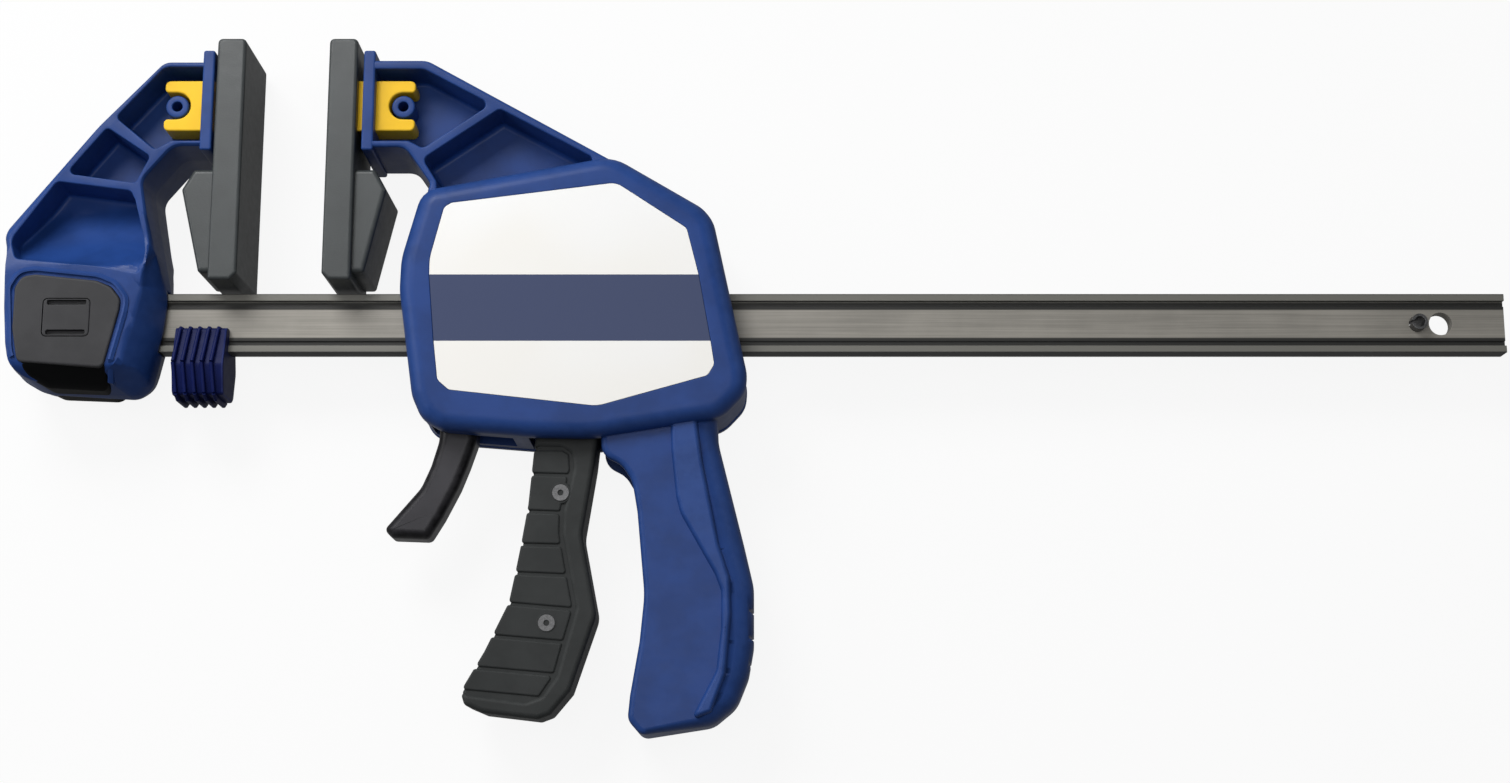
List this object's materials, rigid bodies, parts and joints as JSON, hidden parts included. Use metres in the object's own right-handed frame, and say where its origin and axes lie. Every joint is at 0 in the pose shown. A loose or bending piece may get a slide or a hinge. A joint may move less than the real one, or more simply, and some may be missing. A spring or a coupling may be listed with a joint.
{
  "type": "quick release bar clamp",
  "caption": "One-handed bar clamp: a fixed jaw with a swivel pad at one end of a flat bar, and a sliding jaw with a pistol grip, squeeze trigger and release lever.",
  "frame": {"origin": "on the bar's axis, level with the fixed pad's clamping face, half way through the bar's thickness", "axes": "+X along the bar to its free end, +Y across the bar towards the jaw tips, +Z out of the clamp's front side; it lies on its back side"},
  "size_m": [0.5544, 0.2578, 0.044],
  "materials": {
    "bar_steel": "drawn, dark, satin",
    "pin_steel": "satin",
    "plate_steel": "stamped, satin",
    "spring_steel": "drawn wire",
    "blue_plastic": "moulded, satin",
    "clip_plastic": "moulded, satin",
    "yellow_plastic": "moulded, satin",
    "pad_rubber": "matte, soft",
    "boot_rubber": "matte, soft",
    "button_plastic": "moulded, matte",
    "trigger_plastic": "moulded, matte",
    "lever_plastic": "moulded, glossy",
    "label_white": "printed film, satin"
  },
  "bodies": {
    "bar_body": {"bar": "bar_steel", "stop_pin": "pin_steel", "fixed_jaw": "blue_plastic", "hub_boot": "boot_rubber"},
    "release_button": {"release_button": "button_plastic", "button_lock_pin": "pin_steel", "button_spring": "spring_steel"},
    "fixed_pad": {"fixed_pad": "pad_rubber", "fixed_pad_carrier": "yellow_plastic"},
    "moving_jaw": {"jaw_frame": "blue_plastic", "side_cover_front": "blue_plastic", "side_cover_rear": "blue_plastic", "label_front": "label_white", "label_rear": "label_white", "cover_screws": "pin_steel", "trigger_pivot_pin": "pin_steel", "lever_pivot_pin": "pin_steel", "drive_spring": "spring_steel", "brake_spring": "spring_steel"},
    "moving_pad": {"moving_pad": "pad_rubber", "moving_pad_carrier": "yellow_plastic"},
    "trigger": {"trigger_core": "plate_steel", "trigger_half_front": "trigger_plastic", "trigger_half_rear": "trigger_plastic", "trigger_rivets": "pin_steel"},
    "drive": {"drive_plates": "plate_steel"},
    "release_lever": {"release_lever": "lever_plastic", "brake_plate": "plate_steel"},
    "bar_clip": {"bar_clip": "clip_plastic"}
  },
  "joints": [
    {"name": "jaw_slide", "type": "slide", "parent": "bar_body", "child": "moving_jaw", "axis": [1, 0, 0], "range_m": [-0.0305, 0.24]},
    {"name": "fixed_pad_swivel", "type": "hinge", "parent": "bar_body", "child": "fixed_pad", "pos_m": [-0.0261, 0.0807, 0], "axis": [0, 0, 1], "range_deg": [-2, 2]},
    {"name": "moving_pad_swivel", "type": "hinge", "parent": "moving_jaw", "child": "moving_pad", "pos_m": [0.0584, 0.0807, 0], "axis": [0, 0, 1], "range_deg": [-2, 2]},
    {"name": "trigger_pull", "type": "hinge", "parent": "moving_jaw", "child": "trigger", "pos_m": [0.12, 0.028, 0], "axis": [0, 0, 1], "range_deg": [0, 8], "stiffness_Nm_per_rad": 1.5, "springref_deg": -11.46},
    {"name": "drive_push", "type": "slide", "parent": "moving_jaw", "child": "drive", "axis": [1, 0, 0], "range_m": [0, 0.0045], "stiffness_N_per_m": 400, "springref_m": -0.008, "deforming": ["drive_spring"]},
    {"name": "release_pull", "type": "hinge", "parent": "moving_jaw", "child": "release_lever", "pos_m": [0.088, 0.029, 0], "axis": [0, 0, 1], "range_deg": [0, 7], "stiffness_Nm_per_rad": 1, "springref_deg": -11.46, "deforming": ["brake_spring"]},
    {"name": "button_press", "type": "slide", "parent": "bar_body", "child": "release_button", "axis": [0, 0, -1], "range_m": [0, 0.0062], "stiffness_N_per_m": 600, "springref_m": -0.003, "deforming": ["button_spring"]},
    {"name": "clip_slide", "type": "slide", "parent": "bar_body", "child": "bar_clip", "axis": [1, 0, 0], "range_m": [-0.001, 0.03]}
  ],
  "couplings": [
    {"joint": "drive_push", "follows": "trigger_pull", "m_per_rad": 0.032}
  ]
}
